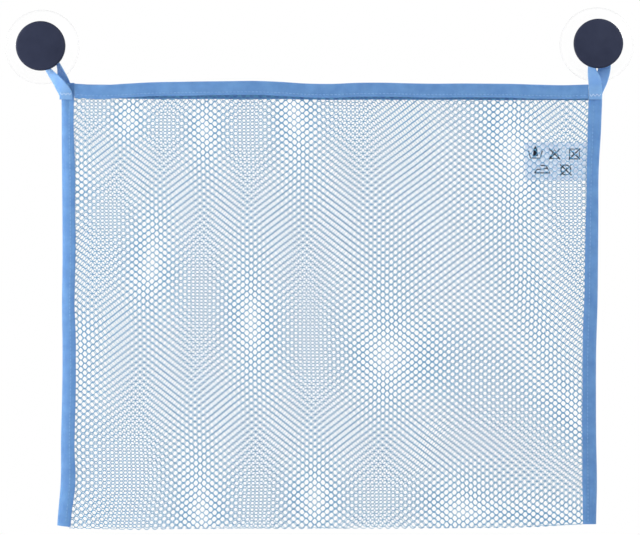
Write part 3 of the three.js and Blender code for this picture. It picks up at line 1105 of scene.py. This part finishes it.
@dataclass
class SideBinding:
    """The taped side edge of the pouch, with a stitch row on each face."""

    shape: PouchShape
    side: Side
    lean: float
    foot: float
    foot_slant: float
    upper_half_depth: float = 1.75
    half_depth: float = 1.42
    dip: float = 0.34
    puff: float = 0.45
    step: float = 0.8
    seed: int = 23
    slant_reach: float = 12.0
    stitch_top: float = -46.4

    def build(self, finishes: Finishes) -> None:
        """Builds the tape and its stitches.

        Args:
            finishes: All finishes.
        """
        shape = self.shape
        sign = self.side.value
        word = f"{self.side.word}_side"
        stitching = Stitching()
        tape = FoldedTape(shape.side_tape, self.half_depth, dip=self.dip, puff=self.puff)
        z = np.linspace(shape.top, self.foot, int((shape.top - self.foot) / self.step))
        at = np.stack([sign * shape.edge(self.side, z), np.full(len(z), shape.middle_y), z], axis=-1)
        across = -sign * ALONG_X
        outlines = tape.outlines(shape.top - z, stitching.length, self.seed + sign)
        below = shape.below_rim(z)
        thick = 1 + (self.upper_half_depth / self.half_depth - 1) * (1 - below)
        outlines[:, :, 1] *= thick[:, None]
        widths = shape.tape(self.side, z)
        outlines[:, :, 0] *= widths[:, None] / shape.side_tape
        row = widths * tape.row / tape.width
        back_off = self.lean * np.maximum(row[:, None] - outlines[:, :, 0], 0.0)
        outlines[:, :, 1] += sign * back_off * below[:, None]
        points = sweep(outlines, at, across, sign * ALONG_Y)
        end = smooth_step((self.foot + self.slant_reach - z) / self.slant_reach)
        points[:, :, 2] -= end[:, None] * self.foot_slant * outlines[:, :, 0] / shape.side_tape
        finishes.dress(add_piece(f"{word}_tape", [points]), "tape", "bag", f"{word}_binding")
        kept = z < self.stitch_top
        for face, kind in ((Face.FRONT, "needle"), (Face.BACK, "bobbin")):
            outward = face.value * ALONG_Y
            path = at[kept] + across * row[kept, None] + outward * tape.thread_level
            thread = add_piece(f"{word}_stitches_{face.word}", stitching.row(path, outward))
            finishes.dress(thread, "thread", "bag", f"{word}_{kind}_thread")


@dataclass
class HangingLoop:
    """One length of tape from the front of a corner, round a cup's neck, to its back."""

    shape: PouchShape
    side: Side
    neck: tuple[float, float]
    lean: float
    # Stations up each leg: x, y, z and the tape's twist in degrees.
    front_leg: tuple[Station, ...]
    back_leg: tuple[Station, ...]
    width: float = 10.8
    half_depth: float = 0.36
    eye_radius: float = 5.0
    eye_twist: float = 90.0
    eye_steps: int = 5
    rings: int = 220
    crease: float = 60.0
    bend_z: float = -30.5
    bartack_z: float = -40.7
    bartack_teeth: int = 3
    bartack_swing: float = 1.15
    bartack_inset: float = 0.7
    thread_radius: float = 0.26
    thread_lift: float = 0.05
    # How far above its bartack the tape is held, and how far above its bend it is free.
    held_above: float = 1.6
    free_above: float = 8.0
    # Half of the cross-section, as shares of the half width and of the half depth.
    flat_part: Row = (-1.0, -0.97, -0.85, -0.4, 0.4, 0.85, 0.97, 1.0)
    thickness: Row = (0.45, 0.9, 1.0, 0.92, 0.92, 1.0, 0.9, 0.45)

    def stations(self) -> np.ndarray:
        """All stations from the front end over the neck to the back end.

        Returns:
            Rows of x, y, z and twist.
        """
        over = []
        for share in np.linspace(0.0, 1.0, self.eye_steps):
            angle = math.pi * (1 - share) - math.radians(self.lean)
            x = self.neck[0] + self.eye_radius * math.cos(angle)
            z = self.neck[1] + self.eye_radius * math.sin(angle)
            over.append((x, self.shape.middle_y, z, self.eye_twist))
        return np.array([*self.front_leg, *over, *reversed(self.back_leg)])

    def outline(self) -> np.ndarray:
        """Cross-section of the tape: flat with rounded selvedges.

        Returns:
            Points as (across, through).
        """
        lower = np.column_stack([self.flat_part, np.negative(self.thickness)])
        upper = np.column_stack([self.flat_part, self.thickness])[::-1]
        return np.concatenate([lower, upper]) * [self.width / 2, self.half_depth]

    def build(self, finishes: Finishes) -> None:
        """Builds the tape and the zigzag bartacks that hold it.

        Args:
            finishes: All finishes.
        """
        stations = self.stations()
        along = np.linspace(0.0, 1.0, self.rings)
        path = smooth_row(stations[:, :3], along)
        twist = np.radians(smooth_row(stations[:, 3], along))[:, None]
        run = unit(np.gradient(path, axis=0))
        rising = np.where(along < 0.5, 1.0, -1.0)[:, None]
        flat = np.stack([run[:, 2], np.zeros(len(run)), -run[:, 0]], axis=-1) * rising
        flat = flat / np.maximum(np.linalg.norm(flat, axis=1, keepdims=True), TINY)
        across = flat * np.cos(twist) - ALONG_Y * np.sin(twist)
        across = unit(across - run * np.sum(across * run, axis=1, keepdims=True))
        tube = sweep(self.outline(), path, across, np.cross(run, across))
        word = f"{self.side.word}_loop"
        piece = add_piece(f"{word}_tape", [tube], self.crease)
        nodes = [f"{self.side.word}_hanging_loop", f"{word}_front_end", f"{word}_back_end"]
        finishes.dress(piece, "loop_tape", None, *nodes)
        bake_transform(piece)
        self.sew(finishes, Face.FRONT, "needle", self.front_leg[0])
        self.sew(finishes, Face.BACK, "bobbin", self.back_leg[0])

    def sew(self, finishes: Finishes, face: Face, kind: str, foot: Station) -> None:
        """Sews a zigzag bartack across one sewn end.

        Args:
            finishes: All finishes.
            face: The face of the pouch that the end lies on.
            kind: The thread that shows there.
            foot: The end's lowest station.
        """
        count = 2 * self.bartack_teeth + 1
        half = self.width / 2 - self.bartack_inset
        x = foot[0] + np.linspace(-half, half, count)
        z = self.bartack_z + self.bartack_swing * np.where(np.arange(count) % 2 == 0, 1.0, -1.0)
        y = np.full(count, foot[1] + face.value * (self.half_depth + self.thread_lift))
        corners = np.stack([x, y, z], axis=-1)
        stitching = Stitching(radius=self.thread_radius)
        stitches = stitching.bodies(corners[:-1], corners[1:], face.value * ALONG_Y)
        piece = add_piece(f"{self.side.word}_bartack_{face.word}", stitches)
        node = f"{self.side.word}_loop_{kind}_thread"
        # The bartack gets the near-white thread, a painted highlight for the glints along the zigzag.
        finishes.dress(piece, "thread", "bag", node, finish="pale_thread")


@dataclass
class SuctionMount:
    """A clear suction cup with the knob cap that is pressed on its stud."""

    side: Side
    neck: tuple[float, float]
    cup_radius: float = 31.0
    cup_depth: float = 10.0
    hollow: float = 6.5
    flare: float = 1.15
    flare_end: float = 0.985
    lip_width: float = 3.0
    lip_thickness: float = 1.2
    lip_step: float = 0.3
    neck_radius: float = 4.5
    neck_start: float = -10.6
    neck_end: float = -22.0
    stud_radius: float = 3.6
    stud_length: float = 2.5
    head_radius: float = 5.2
    head_tip: float = 3.0
    head_length: float = 2.4
    rounding: float = 0.2
    cap_radius: float = 20.6
    cap_depth: float = 7.0
    cap_crown: float = 1.2
    cap_edge: float = 1.8
    cap_chamfer: float = 0.6
    cap_soft: float = 0.18
    clearance: float = 0.3
    axis: float = 0.02
    hollow_steps: int = 16
    dome_steps: int = 20
    edge_steps: int = 12
    crown_steps: int = 24
    # Points round the lip's edge, inward from the cup's radius and forward from the wall.
    lip_edge: tuple[tuple[float, float], ...] = ((0.35, 0.0), (0.08, 0.15), (0.0, 0.5), (0.08, 0.95))

    def cup_profile(self) -> Profile:
        """Profile of the cup, from the middle of its hollow to the head of its stud.

        Returns:
            Rows of (radius, y).
        """
        lip = self.cup_radius
        inner = lip - self.lip_width
        inside = []
        for out in np.linspace(0, 1, self.hollow_steps):
            inside.append((max(inner * out, self.axis), -self.hollow * (1 - out**2)))
        edge = [(lip - inward, -forward) for inward, forward in self.lip_edge]
        dome = []
        for up in np.linspace(0, self.flare_end, self.dome_steps):
            rise = (self.cup_depth - self.lip_thickness) * up**self.flare
            dome.append((lip + (self.neck_radius - lip) * up, -self.lip_thickness - rise))
        dome[0] = (lip - self.lip_step, -self.lip_thickness)
        foot = self.neck_end - self.stud_length
        head = foot - self.head_length
        small = self.rounding
        stud = [
            (self.neck_radius, self.neck_start),
            (self.neck_radius, self.neck_end + small),
            (self.neck_radius - small, self.neck_end),
            (self.stud_radius, self.neck_end),
            (self.stud_radius, foot),
            (self.head_radius - small, foot),
            (self.head_radius, foot - small),
            (self.head_tip + small, head + small / 2),
            (self.head_tip - small, head),
            (self.axis, head),
        ]
        return [*inside, *edge, *dome, *stud]

    def cap_profile(self) -> Profile:
        """Profile of the cap, from the bottom of its socket to the middle of its face.

        Returns:
            Rows of (radius, y).
        """
        rim = self.cap_radius
        back = self.neck_end - self.clearance
        face = back - self.cap_depth
        mouth = self.stud_radius + self.clearance
        chamber = self.head_radius + self.clearance
        chamber_back = self.neck_end - self.stud_length + self.clearance
        chamber_front = self.neck_end - self.stud_length - self.head_length - self.clearance
        profile = [
            (self.axis, chamber_front),
            (chamber, chamber_front),
            (chamber, chamber_back),
            (mouth, chamber_back),
            (mouth, back),
            (rim - self.cap_chamfer, back),
            (rim - self.cap_soft, back - self.cap_soft),
            (rim, back - self.cap_chamfer),
        ]
        flat = rim - self.cap_edge
        for turn in np.linspace(0, math.pi / 2, self.edge_steps):
            edge = self.cap_edge * (1 - math.sin(turn))
            profile.append((flat + self.cap_edge * math.cos(turn), face + edge))
        for out in np.linspace(1, 0, self.crown_steps)[1:]:
            profile.append((max(flat * out, self.axis), face - self.cap_crown * (1 - out**2)))
        return profile

    def build(self, finishes: Finishes) -> None:
        """Builds the cup and the cap.

        Args:
            finishes: All finishes.
        """
        word = self.side.word
        cup = add_piece(f"{word}_clear_cup", [lathe(self.cup_profile(), self.neck)])
        finishes.dress(cup, "clear_plastic", f"{word}_cup", f"{word}_suction_cup")
        cap = add_piece(f"{word}_knob_cap", [lathe(self.cap_profile(), self.neck)])
        finishes.dress(cap, "navy_plastic", f"{word}_cup", f"{word}_cap")


@dataclass
class SewnLabel:
    """A pale film tab in the right side seam, with plain line marks."""

    left: float = 162.8
    right: float = 217.0
    top: float = -81.2
    bottom: float = -112.6
    depth: float = -15.62
    half_depth: float = 0.11
    columns: int = 40
    rows: int = 24
    curl: float = 0.45
    ripple: float = 0.1
    ripple_x: float = 9.0
    ripple_z: float = 4.1
    mark_size: float = 4.1
    ring_points: int = 25
    stroke: float = 0.95
    stroke_depth: float = 0.05
    stroke_lift: float = 0.01

    def surface(self, x: np.ndarray, z: np.ndarray) -> np.ndarray:
        """Depth of the film's middle: flat at the seam, with its free end a little forward.

        Args:
            x: Place along the rim.
            z: Height.

        Returns:
            The depth at each place.
        """
        free = np.clip((self.right - x) / (self.right - self.left), 0, 1)
        ripple = self.ripple * np.sin(z / self.ripple_z + x / self.ripple_x) * free
        return self.depth - self.curl * free**3 - ripple

    def marks(self) -> list[np.ndarray]:
        """Lines of the marks: plain shapes, some with a cross.

        Returns:
            Rows of (x, z), one for each line.
        """
        turn = np.linspace(0, FULL_TURN, self.ring_points)
        ring = np.stack([np.cos(turn), np.sin(turn)], axis=1)
        cross = [[(-1.15, -1.1), (1.15, 1.1)], [(-1.15, 1.1), (1.15, -1.1)]]
        triangle = [(-1, -0.9), (0, 0.9), (1, -0.9), (-1, -0.9)]
        square = [(-1, -1), (-1, 1), (1, 1), (1, -1), (-1, -1)]
        basin = [(-1.4, 0.6), (-1.0, -0.9), (1.0, -0.9), (1.4, 0.6)]
        blot = [[(x, -0.5), (x * 0.6, 1.5 - abs(x))] for x in (-0.4, -0.2, 0.0, 0.2, 0.4)]
        wedge = [(-1.7, -0.7), (-1.2, 0.0), (0.9, 0.2), (1.5, -0.7), (-1.7, -0.7)]
        grip = [(-0.5, 0.8), (0.6, 0.8), (0.9, 0.2)]
        spots = {
            (171.6, -90.4): [basin, *blot],
            (187.6, -90.7): [triangle, *cross],
            (204.2, -90.7): [square, *cross],
            (177.9, -103.6): [wedge, grip],
            (197.0, -104.0): [ring, *cross],
        }
        return [np.array(line) * self.mark_size + spot for spot, lines in spots.items() for line in lines]

    def stroke_body(self, line: np.ndarray) -> np.ndarray:
        """Makes one line of a mark as a thin raised ribbon on the film's front.

        Args:
            line: Points of the line as (x, z).

        Returns:
            The ribbon's points.
        """
        x, z = line.T
        at = np.stack([x, self.surface(x, z) - self.half_depth - self.stroke_lift, z], axis=-1)
        run = np.gradient(line, axis=0)
        across = unit(np.stack([-run[:, 1], np.zeros(len(run)), run[:, 0]], axis=-1))
        half = self.stroke / 2
        outline = np.array([(-half, 0), (half, 0), (half, self.stroke_depth), (-half, self.stroke_depth)])
        return sweep(outline, at, across, -ALONG_Y)

    def build(self, finishes: Finishes) -> None:
        """Builds the film and its marks.

        Args:
            finishes: All finishes.
        """
        across = np.linspace(self.left, self.right, self.columns)
        up = np.linspace(self.bottom, self.top, self.rows)
        x, z = np.meshgrid(across, up, indexing="ij")
        y = self.surface(x, z)
        front = np.stack([x, y - self.half_depth, z], axis=-1)
        back = np.stack([x, y + self.half_depth, z], axis=-1)[:, ::-1]
        film = add_piece("sewn_label", [np.concatenate([front, back], axis=1)])
        finishes.dress(film, "label_film", "bag", "care_label")
        marks = add_piece("label_marks", [self.stroke_body(line) for line in self.marks()])
        finishes.dress(marks, "label_film", "bag", finish="label_ink")


@dataclass
class Studio:
    """Camera, lights, white surroundings and a pale floor."""

    view_middle: tuple[float, float] = (-7.9, -185.3)
    view_width: float = 533.3
    pouch_y: float = -16.0
    lens: float = 300.0
    sensor: float = 36.0
    floor_z: float = -620.0
    floor_size: float = 2600.0
    fill: float = 0.52

    def camera(self) -> None:
        """Places the camera straight in front of the pouch."""
        data = bpy.data.cameras.new("camera")
        data.lens = self.lens
        data.sensor_width = self.sensor
        data.clip_end = 100.0
        camera = bpy.data.objects.new("camera", data)
        away = self.view_width * self.lens / self.sensor
        camera.location = np.array([self.view_middle[0], self.pouch_y - away, self.view_middle[1]]) * MM
        camera.rotation_euler = (math.pi / 2, 0.0, 0.0)
        bpy.context.scene.collection.objects.link(camera)
        bpy.context.scene.camera = camera

    def lamp(self, name: str, place: tuple[float, float, float], size: float, power: float) -> None:
        """Adds a soft square lamp that faces the middle of the pouch.

        Args:
            name: The lamp's name.
            place: Where it stands, in metres.
            size: Its width in metres.
            power: Its power in watts.
        """
        data = bpy.data.lights.new(name, "AREA")
        data.size = size
        data.energy = power
        lamp = bpy.data.objects.new(name, data)
        lamp.location = place
        away = np.array(place) - np.array([0.0, self.pouch_y, self.view_middle[1]]) * MM
        flat = math.hypot(away[0], away[1])
        lamp.rotation_euler = (math.atan2(flat, away[2]), 0.0, math.atan2(away[1], away[0]) + math.pi / 2)
        bpy.context.scene.collection.objects.link(lamp)

    def surroundings(self) -> None:
        """Sets white to the camera and in gloss and clear plastic, and a soft fill elsewhere."""
        world = bpy.data.worlds.new("surroundings")
        bpy.context.scene.world = world
        board = NodeBoard(world)
        path = board.add("LightPath").outputs
        seen = path["Is Camera Ray"]
        for kind in ("Is Glossy Ray", "Is Transmission Ray"):
            seen = board.math("MAXIMUM", seen, path[kind])
        strength = board.add("MapRange", Value=seen, To_Min=self.fill, To_Max=1.0).outputs["Result"]
        board.fill(board.tree.nodes["Background"], Color=(1.0, 1.0, 1.0, 1.0), Strength=strength)

    def floor(self) -> None:
        """Lays a pale floor well below the pouch."""
        half = self.floor_size / 2 * MM
        corners = [(-half, -half), (half, -half), (half, half), (-half, half)]
        mesh = bpy.data.meshes.new("floor")
        mesh.from_pydata([(x, y, self.floor_z * MM) for x, y in corners], [], [range(len(corners))])
        floor = bpy.data.objects.new("floor", mesh)
        bpy.context.scene.collection.objects.link(floor)
        board = SurfaceBoard("pale_floor")
        board.color(board.noise(size=200.0), (238, 239, 240), (244, 245, 246))
        board.set(Roughness=0.8)
        floor.data.materials.append(board.material)

    def build(self) -> None:
        """Sets up the whole studio."""
        self.camera()
        self.surroundings()
        self.floor()
        self.lamp("key", (-1.05, -0.4, 0.1), size=0.5, power=9.6)
        self.lamp("side", (0.72, -0.4, 0.32), size=0.4, power=3.2)
        self.lamp("front", (0.4, -2.3, 0.6), size=1.6, power=5.4)
        bpy.context.scene.view_settings.view_transform = "Standard"


def neck_place(side: Side) -> tuple[float, float]:
    """Finds a cup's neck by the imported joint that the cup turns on.

    Args:
        side: The cup's side.

    Returns:
        The neck's middle as (x, z).
    """
    places = {joint["name"]: joint["pos_m"] for joint in frame["joints"]}
    x, _, z = places[f"{side.word}_cup_turn"]
    return x / MM, z / MM


def left_loop(shape: PouchShape) -> HangingLoop:
    """The left loop as it lies: it leans out to its cup.

    Args:
        shape: The pouch's shape.

    Returns:
        The left loop.
    """
    return HangingLoop(
        shape,
        Side.LEFT,
        neck_place(Side.LEFT),
        lean=-37.1,
        front_leg=(
            (-219.6, -18.25, -45.3, 0.0),
            (-219.6, -18.25, -41.5, 0.0),
            (-220.9, -18.9, -38.5, 14.0),
            (-223.9, -19.7, -34.0, 28.0),
            (-227.6, -19.0, -29.0, 44.0),
            (-233.8, -17.2, -21.5, 64.0),
            (-239.8, -16.2, -12.5, 80.0),
        ),
        back_leg=(
            (-219.6, -13.75, -45.3, 0.0),
            (-219.6, -13.6, -41.0, 0.0),
            (-220.4, -12.5, -36.0, 9.0),
            (-221.4, -12.7, -31.0, 26.0),
            (-222.9, -14.0, -25.5, 44.0),
            (-225.0, -15.4, -18.5, 68.0),
            (-229.6, -16.0, -8.5, 82.0),
        ),
    )


def right_loop(shape: PouchShape) -> HangingLoop:
    """The right loop as it lies: nearly upright, with a lower bartack.

    Args:
        shape: The pouch's shape.

    Returns:
        The right loop.
    """
    return HangingLoop(
        shape,
        Side.RIGHT,
        neck_place(Side.RIGHT),
        lean=5.3,
        bartack_z=-41.8,
        front_leg=(
            (221.3, -18.25, -45.3, 0.0),
            (221.3, -18.25, -40.5, 0.0),
            (221.2, -18.8, -35.0, 4.0),
            (220.6, -18.8, -29.0, 20.0),
            (218.6, -17.9, -21.5, 52.0),
            (217.6, -16.6, -12.0, 76.0),
            (218.2, -16.0, -5.0, 88.0),
        ),
        back_leg=(
            (221.3, -13.75, -45.3, 0.0),
            (221.6, -13.6, -41.0, 0.0),
            (223.6, -13.0, -36.0, 0.0),
            (226.9, -12.6, -28.5, 6.0),
            (229.5, -13.2, -18.5, 24.0),
            (230.2, -15.0, -9.5, 60.0),
            (229.4, -16.0, -3.5, 86.0),
        ),
    )


def main() -> None:
    """Builds the studio and every piece in order."""
    logging.basicConfig(level=logging.INFO, format="%(name)s: %(message)s")
    finishes = Finishes()
    shape = PouchShape()
    Studio().build()
    SideBinding(shape, Side.LEFT, lean=0.45, foot=-400.3, foot_slant=1.2).build(finishes)
    SideBinding(shape, Side.RIGHT, lean=0.24, foot=-399.2, foot_slant=0.0).build(finishes)
    for face in Face:
        RimBinding(shape, face).build(finishes)
    SewnLabel().build(finishes)
    NetPanel(shape, Face.BACK).build(finishes)
    NetPanel(shape, Face.FRONT).build(finishes)
    for loop in (left_loop(shape), right_loop(shape)):
        loop.build(finishes)
    for side in Side:
        SuctionMount(side, neck_place(side)).build(finishes)


if __name__ == "__main__":
    main()
